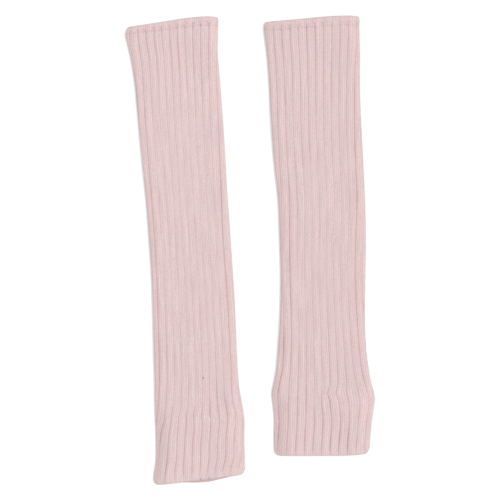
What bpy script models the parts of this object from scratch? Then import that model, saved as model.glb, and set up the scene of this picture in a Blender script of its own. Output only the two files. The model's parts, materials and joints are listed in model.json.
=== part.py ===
"""A pair of rib-knit leg warmers, laid flat side by side.

Each leg warmer is one open tube of ribbed knit that lies on its underside. It is
built as three pieces of cloth: a narrow turned band round the top, the long leg,
and the deep doubled cuff at the ankle. Sizes are in millimetres, +X is right,
+Y is up the leg, and +Z is up off the surface that the pair lies on.
"""

import math
from collections import namedtuple

import bmesh
import bpy

MM = 0.001

# Knit: ribs round one tube, and how a rib is raised over the groove beside it
RIBS = 24
RAISED_RIBS = range(-2, 12)
PLAIN_RIBS = range(12, 22)
RIB_STEPS = (0.0, 0.16, 0.5, 0.84)
RIB_RISE = (0.0, 0.94, 1.0, 0.94)

# How far the cloth may face down, as a sine, before its ribs are gone
UNDER_FADE = 0.4

# Cloth: the leg is one layer, the band and the cuff are turned in and so double
LEG_WALL = 2.5
DOUBLE_WALL = 3.6
SEAM_GAP = 0.3

# How much of the ribs shows through the band, and the least room between a
# measured course and the end of a piece
BAND_RELIEF = 0.3
CLEAR = 3.0

# Open ends: the rounded corners of the flat tube, and the rounded rim of the cloth
TOP_CORNER = 3.0
ANKLE_CORNER = 6.0
CORNER_FADE = 8.0
RIM_STEPS = (0.0, 0.6, 2.0)
RIM_OUTER = (1.3, 0.5, 0.0)
RIM_INNER = (0.4, 0.1, 0.0)

# How far to the right of the middle a course bows most: 1 is in the middle
BOW_SKEW = 2.0

# Mean colour of the knit, as a linear value
KNIT_PINK = (0.80, 0.60, 0.61, 1.0)

# One row for each course of the knit that is measured.
#   down    how far below the top edge its middle lies
#   shift   how far its middle lies to the right of the top edge's middle
#   width   from fold to fold
#   rise    how much higher its right end is than its left end
#   bow     how far it bows up past a straight line between its ends
#   under   how far its under layer reaches out past its upper layer
#   height  both layers together
#   relief  how far the ribs stand over the grooves
#   first   from the left fold to the first groove, along the cloth
#   pitch   from groove to groove
#   bunch   how far the ribs crowd to the middle
Course = namedtuple(
    "Course", "down shift width rise bow under height relief first pitch bunch"
)

LEFT_COURSES = [
    Course(0.0, 0.0, 100.8, 11.2, 2.3, 0.0, 7.8, 1.0, 13.5, 8.80, 1.0),
    Course(8.8, -0.9, 101.6, 9.9, 1.8, 0.0, 7.6, 1.0, 14.9, 8.85, 2.0),
    Course(20.0, 0.1, 99.2, 8.4, 1.2, 0.0, 6.2, 1.0, 12.7, 8.80, 3.0),
    Course(38.0, 1.9, 95.2, 6.8, 0.4, 0.0, 6.0, 1.0, 11.8, 8.45, 3.0),
    Course(64.0, 5.0, 93.2, 6.0, 0.0, 0.0, 6.0, 0.9, 10.4, 8.15, 1.5),
    Course(108.0, 8.8, 92.8, 5.5, 0.0, 0.0, 6.0, 0.7, 8.7, 8.10, 2.2),
    Course(152.0, 12.3, 91.5, 5.5, 0.0, 0.0, 6.0, 0.6, 8.1, 7.95, 2.5),
    Course(196.0, 15.9, 89.5, 5.5, 0.0, 0.0, 6.0, 0.6, 6.9, 7.80, 3.0),
    Course(240.0, 19.1, 89.2, 5.5, 0.0, 0.0, 6.0, 0.6, 6.6, 7.70, 3.2),
    Course(284.0, 22.0, 89.4, 5.0, 0.0, 0.0, 6.0, 0.6, 6.6, 7.70, 2.4),
    Course(328.0, 23.9, 90.4, 4.4, 0.0, 0.0, 6.0, 0.7, 6.2, 7.92, 3.4),
    Course(372.0, 25.5, 91.3, 3.8, 0.0, 0.0, 6.0, 0.7, 6.2, 8.05, 3.6),
    Course(398.0, 26.6, 92.0, 3.3, 0.0, 0.0, 6.2, 0.8, 5.8, 8.08, 3.0),
    Course(416.0, 28.0, 94.6, 2.8, 0.0, 0.0, 6.9, 0.9, 5.1, 8.20, 1.0),
    Course(434.0, 29.7, 97.4, 2.2, 0.0, 0.0, 8.2, 1.0, 2.5, 8.65, 0.0),
    Course(447.0, 30.2, 97.6, 2.2, 0.0, 0.0, 8.6, 1.1, -0.2, 8.95, 0.0),
    Course(462.0, 30.3, 96.9, 3.3, 0.0, 0.0, 8.6, 1.1, -2.7, 9.08, 0.0),
    Course(480.0, 30.4, 97.4, 6.4, 0.0, 0.6, 8.6, 1.1, -3.5, 9.10, -1.5),
    Course(493.0, 29.6, 99.8, 9.2, 0.0, 2.2, 8.6, 1.0, -3.0, 8.95, -1.5),
    Course(503.6, 29.4, 100.4, 12.4, 0.0, 4.4, 8.6, 0.5, -3.0, 8.90, -1.0),
]
RIGHT_COURSES = [
    Course(0.0, 0.0, 105.0, 6.6, 1.6, 0.0, 7.8, 1.0, 12.1, 9.10, -1.5),
    Course(9.6, -0.1, 104.6, 6.2, 1.2, 0.0, 7.6, 1.0, 12.1, 9.10, -1.0),
    Course(23.0, 0.8, 103.2, 5.3, 0.6, 0.0, 6.2, 1.0, 10.9, 9.00, -1.0),
    Course(41.0, 2.1, 101.8, 4.4, 0.0, 0.0, 6.0, 1.0, 9.9, 8.88, 0.5),
    Course(67.0, 3.0, 99.8, 3.3, 0.0, 0.0, 6.0, 0.9, 9.4, 8.62, 1.0),
    Course(111.0, 4.7, 99.0, 2.2, 0.0, 0.0, 6.0, 0.8, 8.5, 8.47, 1.0),
    Course(155.0, 7.5, 97.8, 1.7, 0.0, 0.0, 6.0, 0.7, 7.0, 8.40, 1.2),
    Course(199.0, 10.9, 95.2, 1.7, 0.0, 0.0, 6.0, 0.6, 4.7, 8.35, 1.6),
    Course(243.0, 12.2, 94.4, 1.7, 0.0, 0.0, 6.0, 0.6, 3.3, 8.18, 1.5),
    Course(287.0, 12.4, 92.6, 1.7, 0.0, 0.0, 6.0, 0.6, 3.3, 7.96, 0.3),
    Course(331.0, 11.7, 93.2, 1.6, 0.0, 0.0, 6.0, 0.7, 5.3, 8.10, 1.0),
    Course(364.0, 11.4, 97.0, 1.1, 0.0, 0.0, 6.0, 0.8, 7.0, 8.42, 1.0),
    Course(386.0, 11.9, 101.8, 0.0, 0.0, 0.0, 6.2, 0.9, 7.5, 8.82, 1.5),
    Course(401.0, 12.3, 107.4, -1.7, 0.0, 0.0, 7.0, 0.9, 6.6, 9.55, 5.0),
    Course(414.0, 12.7, 113.0, -3.2, 0.0, 0.0, 8.3, 1.0, 6.3, 10.2, 8.5),
    Course(428.0, 12.9, 110.4, -2.2, 0.0, 0.0, 9.0, 1.1, 6.7, 9.97, 5.0),
    Course(443.0, 12.4, 107.0, -1.1, 0.0, 0.0, 8.7, 1.1, 7.1, 9.66, 1.0),
    Course(461.0, 11.5, 105.6, 0.5, 0.0, 0.0, 8.6, 1.1, 6.2, 9.65, 1.2),
    Course(472.0, 11.2, 104.8, 1.6, -0.6, 0.0, 8.6, 1.0, 5.1, 9.70, 2.0),
    Course(479.1, 11.1, 104.2, 2.4, -1.1, 0.0, 8.6, 0.8, 4.9, 9.75, 2.0),
]

# One row for each place where a few ribs bend aside, mostly at the line of the cuff.
#   rib, down       where the bend is
#   shift           how far the cloth is pushed to the right there
#   across, along   how many ribs, and how many millimetres of them, it fades over
Kink = namedtuple("Kink", "rib down shift across along")

LEFT_KINKS = [
    Kink(5.5, 427.0, -2.8, 2.2, 10.0),
    Kink(0.1, 434.0, 3.4, 1.3, 14.0),
    Kink(10.0, 432.0, 2.4, 1.3, 13.0),
    Kink(5.5, 496.0, 2.6, 1.8, 13.0),
    Kink(3.6, 502.0, 2.8, 1.1, 11.0),
]
RIGHT_KINKS = [
    Kink(6.4, 408.0, -2.4, 1.3, 8.0),
    Kink(7.6, 404.0, -1.4, 1.4, 6.0),
    Kink(0.6, 405.0, 1.8, 1.2, 9.0),
    Kink(5.0, 424.0, -1.5, 1.5, 10.0),
    Kink(9.6, 417.0, 5.0, 1.3, 17.0),
]

# Where the middle of each top edge lies, and how far down from it the band ends
# and the ankle cuff begins
Warmer = namedtuple("Warmer", "name top_x top_y band cuff_from courses kinks")
PAIR = [
    Warmer("left", -85.4, 251.2, 8.8, 434.0, LEFT_COURSES, LEFT_KINKS),
    Warmer("right", 67.9, 254.3, 9.6, 414.0, RIGHT_COURSES, RIGHT_KINKS),
]


def course_at(courses, down):
    """The course at any distance down the tube, on a smooth curve through the rows."""
    last = len(courses) - 2
    row = max(0, min(last, sum(c.down <= down for c in courses) - 1))
    before, start = courses[max(row - 1, 0)], courses[row]
    end, after = courses[row + 1], courses[min(row + 2, last + 1)]
    span = end.down - start.down
    t = (down - start.down) / span
    slope_in = [(b - a) / (end.down - before.down) for a, b in zip(before, end)]
    slope_out = [(b - a) / (after.down - start.down) for a, b in zip(start, after)]
    values = []
    for a, b, m, n in zip(start, end, slope_in, slope_out):
        curve = (2 * t**3 - 3 * t**2 + 1) * a + (3 * t**2 - 2 * t**3) * b
        curve += ((t**3 - 2 * t**2 + t) * m + (t**3 - t**2) * n) * span
        values.append(curve)
    return Course(*values)


def half_round(course):
    """Length of the cloth from fold to fold over one layer, round both folds."""
    return course.width - course.height + math.pi * course.height / 2


def kink_at(warmer, down, rib):
    """How far the kinks push a rib aside."""
    return sum(
        k.shift * math.exp(-(((rib - k.rib) / k.across) ** 2) - ((down - k.down) / k.along) ** 2)
        for k in warmer.kinks
    )


def run_of(warmer, course, rib):
    """How far round the tube a rib lies, from the left fold over the top."""
    half = half_round(course)
    from_rib = -course.first / course.pitch
    to_rib = (half - course.first) / course.pitch
    if rib < from_rib:
        rib += RIBS
    if rib <= to_rib:
        run = course.first + rib * course.pitch
        across = 2 * run / half - 1
        spread = course.bunch * (across**3 - across)
        return run + spread + kink_at(warmer, course.down, rib) * (1 - across**4)
    return half + half * (rib - to_rib) / (RIBS - to_rib + from_rib)


def outline(course, run):
    """Place on the flattened tube's outline, and the way out of the cloth there.

    x is measured from the left fold and z from the underside.
    """
    radius = course.height / 2
    flat = course.width - course.height
    half = half_round(course)
    quarter = math.pi * radius / 2
    over = run if run <= half else 2 * half - run
    if over < quarter:
        turn = over / radius
        centre, out_x, out_z = radius, -math.cos(turn), math.sin(turn)
    elif over > quarter + flat:
        turn = (half - over) / radius
        centre, out_x, out_z = radius + flat, math.cos(turn), math.sin(turn)
    else:
        centre, out_x, out_z = radius + over - quarter, 0.0, 1.0
    if run > half:
        out_z = -out_z
    return centre + radius * out_x, radius + radius * out_z, out_x, out_z


def corner_drop(course, x, corner):
    """How far the course turns back at the rounded corners of an open end."""
    reach = min(x, course.width - x)
    if reach >= corner:
        return 0.0
    return corner - math.sqrt(corner**2 - (corner - max(reach, 0.0)) ** 2)


def point_on(warmer, course, x, z):
    """A point of one course, from the middle of the warmer's top edge, in metres."""
    across = x / course.width
    length = warmer.courses[-1].down
    y = -course.down
    swell = math.sin(math.pi * max(across, 0.0) ** BOW_SKEW)
    y += course.rise * (across - 0.5) + course.bow * swell
    y -= course.under * (1 - z / course.height) * swell
    from_top = max(0.0, 1 - course.down / CORNER_FADE)
    from_end = max(0.0, 1 - (length - course.down) / CORNER_FADE)
    y += corner_drop(course, x, ANKLE_CORNER) * from_end
    y -= corner_drop(course, x, TOP_CORNER) * from_top
    return (course.shift - course.width / 2 + x) * MM, y * MM, z * MM


def ring(warmer, course, wall, relief, cut_outer, cut_inner):
    """The points of one course: for each rib, its outer points and one inner point.

    The outer points follow the ribs down to the lower side of the folds, the
    underside is flat, and the inner points lie on a plain tube.
    """
    turns = []
    for rib in [*RAISED_RIBS, *PLAIN_RIBS]:
        steps = RIB_STEPS if rib in RAISED_RIBS else RIB_STEPS[:1]
        outer = []
        for step, rise in zip(steps, RIB_RISE):
            x, z, out_x, out_z = outline(course, run_of(warmer, course, rib + step))
            shown = max(0.0, min(1.0, 1 + out_z / UNDER_FADE))
            depth = cut_outer + relief * course.relief * (1 - rise) * shown
            outer.append(point_on(warmer, course, x - out_x * depth, z - out_z * depth))
        x, z, out_x, out_z = outline(course, run_of(warmer, course, rib))
        depth = wall - cut_inner
        inner = point_on(warmer, course, x - out_x * depth, z - out_z * depth)
        turns.append((outer, inner))
    return turns


def add_ring(bm, turns):
    return [([bm.verts.new(p) for p in outer], bm.verts.new(inner)) for outer, inner in turns]


def outer_loop(ring_verts):
    return [vert for outer, _ in ring_verts for vert in outer]


def inner_loop(ring_verts):
    return [inner for _, inner in ring_verts]


def join_loops(bm, upper, lower):
    """A strip of faces between two closed loops with the same number of points."""
    for i, vert in enumerate(upper):
        j = (i + 1) % len(upper)
        bm.faces.new((vert, upper[j], lower[j], lower[i]))


def close_end(bm, ring_verts):
    """The ring of faces between the outer and the inner loop at one end of a wall."""
    for i, (outer, inner) in enumerate(ring_verts):
        next_outer, next_inner = ring_verts[(i + 1) % len(ring_verts)]
        chain = [*outer, next_outer[0]]
        for a, b in zip(chain, chain[1:]):
            bm.faces.new((inner, a, b))
        bm.faces.new((inner, chain[-1], next_inner))


def knit_material(name):
    material = bpy.data.materials.new(name)
    material.use_nodes = True
    material.diffuse_color = KNIT_PINK
    shader = material.node_tree.nodes["Principled BSDF"]
    shader.inputs["Base Color"].default_value = KNIT_PINK
    shader.inputs["Roughness"].default_value = 0.9
    shader.inputs["Metallic"].default_value = 0.0
    return material


def tube_piece(warmer, name, wall, relief, cuts):
    """One closed wall of cloth. Each cut is (down, outer rim inset, inner rim inset)."""
    bm = bmesh.new()
    rings = []
    for down, cut_outer, cut_inner in cuts:
        course = course_at(warmer.courses, down)
        turns = ring(warmer, course, wall, relief, cut_outer, cut_inner)
        rings.append(add_ring(bm, turns))
    for upper, lower in zip(rings, rings[1:]):
        join_loops(bm, outer_loop(upper), outer_loop(lower))
        join_loops(bm, inner_loop(upper), inner_loop(lower))
    close_end(bm, rings[0])
    close_end(bm, rings[-1])
    bmesh.ops.recalc_face_normals(bm, faces=bm.faces)
    mesh = bpy.data.meshes.new(name)
    bm.to_mesh(mesh)
    bm.free()
    mesh.shade_smooth()
    mesh.set_sharp_from_angle(angle=math.radians(50))
    mesh.materials.append(knit_material(name + "_knit"))
    return bpy.data.objects.new(name, mesh)


def rim_cuts(end, towards):
    """The rounded rim at an open end, as cuts from the end into the cloth."""
    return [
        (end + towards * step, outer, inner)
        for step, outer, inner in zip(RIM_STEPS, RIM_OUTER, RIM_INNER)
    ]


def rows_between(warmer, start, end):
    """Plain cuts at each measured course that lies inside a piece."""
    return [(c.down, 0.0, 0.0) for c in warmer.courses if start + CLEAR < c.down < end - CLEAR]


def top_band(warmer):
    cuts = [*rim_cuts(0.0, 1), (warmer.band, 0.0, 0.0)]
    return tube_piece(warmer, warmer.name + "_top_band", DOUBLE_WALL, BAND_RELIEF, cuts)


def leg(warmer):
    start, end = warmer.band + SEAM_GAP, warmer.cuff_from - SEAM_GAP
    cuts = [(start, 0.0, 0.0), *rows_between(warmer, start, end), (end, 0.0, 0.0)]
    return tube_piece(warmer, warmer.name + "_leg", LEG_WALL, 1.0, cuts)


def ankle_cuff(warmer):
    start, end = warmer.cuff_from, warmer.courses[-1].down
    cuts = [(start, 0.0, 0.0), *rows_between(warmer, start, end)]
    cuts += reversed(rim_cuts(end, -1))
    return tube_piece(warmer, warmer.name + "_ankle_cuff", DOUBLE_WALL, 1.0, cuts)


def clear_scene():
    for obj in list(bpy.data.objects):
        bpy.data.objects.remove(obj, do_unlink=True)


def main():
    clear_scene()
    pair = bpy.data.collections.new("leg_warmers")
    bpy.context.scene.collection.children.link(pair)
    for warmer in PAIR:
        tube = bpy.data.objects.new(warmer.name + "_leg_warmer", None)
        tube.location = (warmer.top_x * MM, warmer.top_y * MM, 0.0)
        pair.objects.link(tube)
        for piece in (top_band(warmer), leg(warmer), ankle_cuff(warmer)):
            piece.parent = tube
            pair.objects.link(piece)


main()
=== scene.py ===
"""The looks of a pair of rib-knit leg warmers, laid flat side by side.

Each leg warmer is one open tube of pale pink rib knit. Its turned top band, its
leg and its doubled ankle cuff are closed walls of knit on the form of their
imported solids, with a row of linking stitches under the band. The tables and the
sizes of the form are in millimetres, and +Y is up the leg.
"""

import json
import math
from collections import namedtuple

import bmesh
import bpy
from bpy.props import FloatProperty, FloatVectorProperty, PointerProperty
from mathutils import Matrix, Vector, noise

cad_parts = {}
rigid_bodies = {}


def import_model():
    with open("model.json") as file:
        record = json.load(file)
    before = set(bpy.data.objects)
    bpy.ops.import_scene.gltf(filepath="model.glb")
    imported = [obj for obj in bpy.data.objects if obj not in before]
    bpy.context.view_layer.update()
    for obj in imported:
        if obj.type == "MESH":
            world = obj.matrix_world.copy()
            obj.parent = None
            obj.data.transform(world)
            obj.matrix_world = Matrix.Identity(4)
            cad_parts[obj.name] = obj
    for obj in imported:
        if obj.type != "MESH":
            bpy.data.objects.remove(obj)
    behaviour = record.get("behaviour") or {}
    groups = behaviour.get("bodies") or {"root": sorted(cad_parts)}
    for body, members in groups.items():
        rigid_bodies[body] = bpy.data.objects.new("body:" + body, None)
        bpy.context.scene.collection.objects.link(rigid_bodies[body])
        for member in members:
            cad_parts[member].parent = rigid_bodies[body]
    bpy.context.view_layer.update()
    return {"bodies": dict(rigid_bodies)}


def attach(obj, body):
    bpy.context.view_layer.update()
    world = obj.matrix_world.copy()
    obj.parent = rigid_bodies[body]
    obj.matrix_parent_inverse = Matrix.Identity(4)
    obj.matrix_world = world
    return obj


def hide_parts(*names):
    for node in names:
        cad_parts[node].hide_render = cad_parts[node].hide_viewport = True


bl_info = {
    "name": "Rib-knit leg warmers",
    "version": (1, 0, 0),
    "blender": (4, 5, 0),
    "location": "3D View > Sidebar > Leg warmers",
    "description": "Builds a pair of rib-knit leg warmers on the form of its packed solids",
    "category": "Object",
}

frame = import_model()
MM = 0.001

# The one body that everything rides on, because nothing on the pair turns or slides
(BODY,) = frame["bodies"]

# Knit: ribs round one tube, stitch columns in a rib, and mesh columns to a rib, which
# crowd to the grooves. The mesh starts in the middle of the underside.
RIBS = 24
STITCHES = 4
RIB_POINTS = 16
GROOVE_CROWD = 0.4
START_RIB = -(RIBS // 4)

# Mesh rows: spacing down the face, by the band's seam and inside the wall, how far the
# rows and marks of that seam reach, and how many rows go round an open rim
LEG_ROW = 2.3
CUFF_ROW = 1.4
SEAM_ROW = 0.6
LINING_ROW = 14.0
SEAM_REACH = 5.0
RIM_ROWS = 8

# Mesh: how near points are merged, in metres, and from what angle an edge is sharp
WELD = 1e-6
SHARP_DEGREES = 55

# Cloth: how thick it is on the leg, and on the band and the cuff, which are turned in and
# so double
LEG_WALL = 2.5
DOUBLE_WALL = 3.6

# Ends of a wall: an open rim is half round, and a seam's edge has a small round or none
OPEN_RIM = None
SEAM_ROUND = 0.05
SQUARE = 0.0

# Ribs: the share of their relief on the leg and the cuff, and on the flatter band
FULL_RELIEF = 1.0
BAND_RELIEF = 0.3

# Open ends: the rounded corners of the flat tube, and how far along it they fade
TOP_CORNER = 3.0
ANKLE_CORNER = 6.0
CORNER_FADE = 8.0

# How far to the right of the middle a course bows most: 1 is in the middle
BOW_SKEW = 2.0

# Where across the tube the under layer reaches out most, and how far from there it
# fades, as shares of the width
UNDER_MIDDLE = 0.58
UNDER_SPREAD = 0.24

# Lie: how high a tube of one layer is, and how much more the doubled cuff is. There the
# folds droop more and reach further in, by these shares
LEG_HEIGHT = 6.0
CUFF_SWELL = 2.6
SWELL_DROOP = 1.5
SWELL_REACH = 0.4

# Ripple: how long the waves of the cloth are across the tube and down it
RIPPLE_ACROSS = 24.0
RIPPLE_DOWN = 55.0

# Grooves: how their sides curve, where 2 is a bell and less is more pointed, how much
# the loosest are drawn in, and by how much and over what length that wanders
GROOVE_CURVE = 1.6
LOOSE_DRAW = 0.2
WANDER = 0.35
WANDER_LENGTH = 26.0

# Ribs lie loose at LOOSE_RELIEF and are drawn together fully at RELIEF_SPAN more. Loose
# ones are drawn together too in a strip by each fold: how much, how far in from the fold
# the strip's middle lies, and how far from there it fades
LOOSE_RELIEF = 0.5
RELIEF_SPAN = 0.6
STRIP_DRAW = 0.6
STRIP_MIDDLE = 7.5
STRIP_REACH = 3.5

# Steps through a noise that give each groove, linking stitch and column its own value
OWN_GROOVE = 3.7
OWN_STITCH = 1.7
OWN_COLUMN = 7.31

# Linking: the square root of how hard its stitches are drawn, and how far that swings
PULL_ROOT = 0.9
PULL_SWING = 0.5

# Holes of the linking: how far each of a rib's stitches is drawn in, from its groove on,
# and the size of a hole across the rib and up it
LINK_HOLES = (0.75, 0.25, 0.4, 0.6)
HOLE_ACROSS = 0.9
HOLE_UP = 1.0

# The two gathers over a groove: how far up their middle lies, their length and width,
# and how far they lean apart for each millimetre up
FORK_MIDDLE = 2.6
FORK_LENGTH = 2.1
FORK_WIDTH = 0.42
FORK_LEAN = 0.5

# Stitches of the linking: half their length, and the slant in degrees that all have, and
# that one drawn in fully has besides
LINK_HALF_LENGTH = 1.1
LINK_SLANT = 35
LINK_SLANT_MORE = 25

# Strands of yarn and lint: the sides and rings of their meshes, and how near the points
# are, in ribs and in millimetres, that give the lie of the cloth under them
STRAND_SIDES = 8
STRAND_RINGS = 5
LIE_RIB = 0.05
LIE_DOWN = 0.5

# Painted shade: how much a mark of the linking takes, how much the inside of the tube takes, and
# how deep in the cloth that is all of it
LINK_SHADE = 1.5
INSIDE_SHADE = 0.5
INSIDE_DEPTH = 0.8

# Loops of the knit, in stitches: how steeply the two arms of one climb, half its height,
# and how far from the middle of its column an arm lies
ARM_CLIMB = 1.4
HALF_ROW = 0.5
ARM_ASIDE = 0.25

# Yarn: the sizes of its specks, its duller patches and its mottled shade, and of its
# hairs, on the knit and on a single strand, coarser than real so that they show
SPECK_SIZE = 1.2
PATCH_SIZE = 9.0
MOTTLE_SIZE = 2.5
KNIT_HAIR = 0.9
STRAND_HAIR = 0.3

# Yarn: how high its hairs stand, beside the loops and on a strand, and how strongly all
# of that relief shows
HAIR_SHARE = 0.5
STRAND_RELIEF = 0.1
BUMP_STRENGTH = 0.6

# Dye and painted shade: how much a column changes from row to row, how much the painted shade is
# mottled, how narrow the painted shade between two columns is, and how duller patches stretch up
# the leg
STREAK_DRIFT = 0.035
MOTTLE = 0.35
GAP_SHADE_POWER = 4.0
PATCH_STRETCH = (1.0, 0.5, 1.0)

# Stage, in metres: where the lights stand, where the key light is turned, far past the
# pair so that it grazes the ribs, half the side of the table, and the nearest thing that
# the camera sees
KEY_PLACE = (2.8, 0.1, 5.2)
KEY_AIM = (-8.0, 0.0, 4.0)
FILL_PLACE = (-1.2, 0.1, 1.5)
EDGE_PLACE = (1.5, 0.1, 0.6)
PAIR_MIDDLE = (0.0, 0.0, 0.0)
TABLE_HALF_SIDE = 4.0
NEAREST_SEEN = 0.01

# Stage: how far the table lies under the pair, and the height of the cloth at which the
# view's width is measured
TABLE_GAP = 0.1
CLOTH_TOP = 4.0

# Sheets: how many stretches of a tube its mean length round is taken over
SHEET_STRETCHES = 8

# Tables: how many times its own reach along the leg a row is followed
FADED = 3

# One row for each course of the knit that is measured.
#   down    how far below the top edge its middle lies
#   shift   how far its middle lies to the right of the top edge's middle
#   width   from fold to fold
#   rise    how much higher its right end is than its left end
#   bow     how far it bows up past a straight line between its ends
#   under   how far its under layer reaches out past its upper layer
#   height  both layers together
#   relief  how far the ribs stand over the grooves
#   first   from the left fold to the first groove, along the cloth
#   pitch   from groove to groove
#   bunch   how far the ribs crowd to the middle
Course = namedtuple(
    "Course", "down shift width rise bow under height relief first pitch bunch"
)

LEFT_COURSES = [
    Course(0.0, 0.0, 100.8, 11.2, 2.3, 0.0, 7.8, 1.0, 13.5, 8.80, 1.0),
    Course(8.8, -0.9, 101.6, 9.9, 1.8, 0.0, 7.6, 1.0, 14.9, 8.85, 2.0),
    Course(20.0, 0.1, 99.2, 8.4, 1.2, 0.0, 6.2, 1.0, 12.7, 8.80, 3.0),
    Course(38.0, 1.9, 95.2, 6.8, 0.4, 0.0, 6.0, 1.0, 11.8, 8.45, 3.0),
    Course(64.0, 5.0, 93.2, 6.0, 0.0, 0.0, 6.0, 0.9, 10.4, 8.15, 1.5),
    Course(108.0, 8.8, 92.8, 5.5, 0.0, 0.0, 6.0, 0.7, 8.7, 8.10, 2.2),
    Course(152.0, 12.3, 91.5, 5.5, 0.0, 0.0, 6.0, 0.6, 8.1, 7.95, 2.5),
    Course(196.0, 15.9, 89.5, 5.5, 0.0, 0.0, 6.0, 0.6, 6.9, 7.80, 3.0),
    Course(240.0, 19.1, 89.2, 5.5, 0.0, 0.0, 6.0, 0.6, 6.6, 7.70, 3.2),
    Course(284.0, 22.0, 89.4, 5.0, 0.0, 0.0, 6.0, 0.6, 6.6, 7.70, 2.4),
    Course(328.0, 23.9, 90.4, 4.4, 0.0, 0.0, 6.0, 0.7, 6.2, 7.92, 3.4),
    Course(372.0, 25.5, 91.3, 3.8, 0.0, 0.0, 6.0, 0.7, 6.2, 8.05, 3.6),
    Course(398.0, 26.6, 92.0, 3.3, 0.0, 0.0, 6.2, 0.8, 5.8, 8.08, 3.0),
    Course(416.0, 28.0, 94.6, 2.8, 0.0, 0.0, 6.9, 0.9, 5.1, 8.20, 1.0),
    Course(434.0, 29.7, 97.4, 2.2, 0.0, 0.0, 8.2, 1.0, 2.5, 8.65, 0.0),
    Course(447.0, 30.2, 97.6, 2.2, 0.0, 0.0, 8.6, 1.1, -0.2, 8.95, 0.0),
    Course(462.0, 30.3, 96.9, 3.3, 0.0, 0.0, 8.6, 1.1, -2.7, 9.08, 0.0),
    Course(480.0, 30.4, 97.4, 6.4, 0.0, 0.6, 8.6, 1.1, -3.5, 9.10, -1.5),
    Course(493.0, 29.6, 99.8, 9.2, 0.0, 2.2, 8.6, 1.0, -3.0, 8.95, -1.5),
    Course(503.6, 29.4, 100.4, 12.4, 0.0, 4.4, 8.6, 0.5, -3.0, 8.90, -1.0),
]
RIGHT_COURSES = [
    Course(0.0, 0.0, 105.0, 6.6, 1.6, 0.0, 7.8, 1.0, 12.1, 9.10, -1.5),
    Course(9.6, -0.1, 104.6, 6.2, 1.2, 0.0, 7.6, 1.0, 12.1, 9.10, -1.0),
    Course(23.0, 0.8, 103.2, 5.3, 0.6, 0.0, 6.2, 1.0, 10.9, 9.00, -1.0),
    Course(41.0, 2.1, 101.8, 4.4, 0.0, 0.0, 6.0, 1.0, 9.9, 8.88, 0.5),
    Course(67.0, 3.0, 99.8, 3.3, 0.0, 0.0, 6.0, 0.9, 9.4, 8.62, 1.0),
    Course(111.0, 4.7, 99.0, 2.2, 0.0, 0.0, 6.0, 0.8, 8.5, 8.47, 1.0),
    Course(155.0, 7.5, 97.8, 1.7, 0.0, 0.0, 6.0, 0.7, 7.0, 8.40, 1.2),
    Course(199.0, 10.9, 95.2, 1.7, 0.0, 0.0, 6.0, 0.6, 4.7, 8.35, 1.6),
    Course(243.0, 12.2, 94.4, 1.7, 0.0, 0.0, 6.0, 0.6, 3.3, 8.18, 1.5),
    Course(287.0, 12.4, 92.6, 1.7, 0.0, 0.0, 6.0, 0.6, 3.3, 7.96, 0.3),
    Course(331.0, 11.7, 93.2, 1.6, 0.0, 0.0, 6.0, 0.7, 5.3, 8.10, 1.0),
    Course(364.0, 11.4, 97.0, 1.1, 0.0, 0.0, 6.0, 0.8, 7.0, 8.42, 1.0),
    Course(386.0, 11.9, 101.8, 0.0, 0.0, 0.0, 6.2, 0.9, 7.5, 8.82, 1.5),
    Course(401.0, 12.3, 107.4, -1.7, 0.0, 0.0, 7.0, 0.9, 6.6, 9.55, 5.0),
    Course(414.0, 12.7, 113.0, -3.2, 0.0, 0.0, 8.3, 1.0, 6.3, 10.2, 8.5),
    Course(428.0, 12.9, 110.4, -2.2, 0.0, 0.0, 9.0, 1.1, 6.7, 9.97, 5.0),
    Course(443.0, 12.4, 107.0, -1.1, 0.0, 0.0, 8.7, 1.1, 7.1, 9.66, 1.0),
    Course(461.0, 11.5, 105.6, 0.5, 0.0, 0.0, 8.6, 1.1, 6.2, 9.65, 1.2),
    Course(472.0, 11.2, 104.8, 1.6, -0.6, 0.0, 8.6, 1.0, 5.1, 9.70, 2.0),
    Course(479.1, 11.1, 104.2, 2.4, -1.1, 0.0, 8.6, 0.8, 4.9, 9.75, 2.0),
]

# One row for each place where a few ribs bend aside, mostly at the line of the cuff.
#   rib, down       where the bend is
#   shift           how far the cloth is pushed to the right there
#   across, along   how many ribs, and how many millimetres of them, it fades over
Kink = namedtuple("Kink", "rib down shift across along")

LEFT_KINKS = [
    Kink(3.0, 422.0, 1.1, 0.9, 9.0),
    Kink(10.0, 432.0, 2.4, 1.3, 13.0),
    Kink(5.5, 433.0, -1.5, 2.2, 7.0),
    Kink(0.1, 434.0, 3.4, 1.3, 14.0),
    Kink(7.8, 438.0, 1.2, 1.1, 8.0),
    Kink(3.0, 476.0, 1.8, 0.9, 20.0),
    Kink(5.5, 496.0, 2.6, 1.8, 13.0),
    Kink(3.6, 502.0, 2.2, 1.1, 11.0),
]
RIGHT_KINKS = [
    Kink(7.6, 408.0, -0.9, 1.4, 5.0),
    Kink(0.6, 411.0, 1.7, 1.2, 9.0),
    Kink(6.4, 411.0, -2.9, 1.3, 6.0),
    Kink(9.6, 417.0, 5.0, 1.3, 17.0),
    Kink(5.0, 424.0, -1.5, 1.5, 10.0),
]

# One row for each soft trough (depth over 0) or ridge (under 0) in the cloth.
#   rib, down       its middle
#   depth           how far the cloth lies in there
#   across, along   how many ribs, and how many millimetres of them, it fades over
#   lean            millimetres down the leg for each rib to the right
Fold = namedtuple("Fold", "rib down depth across along lean")

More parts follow.
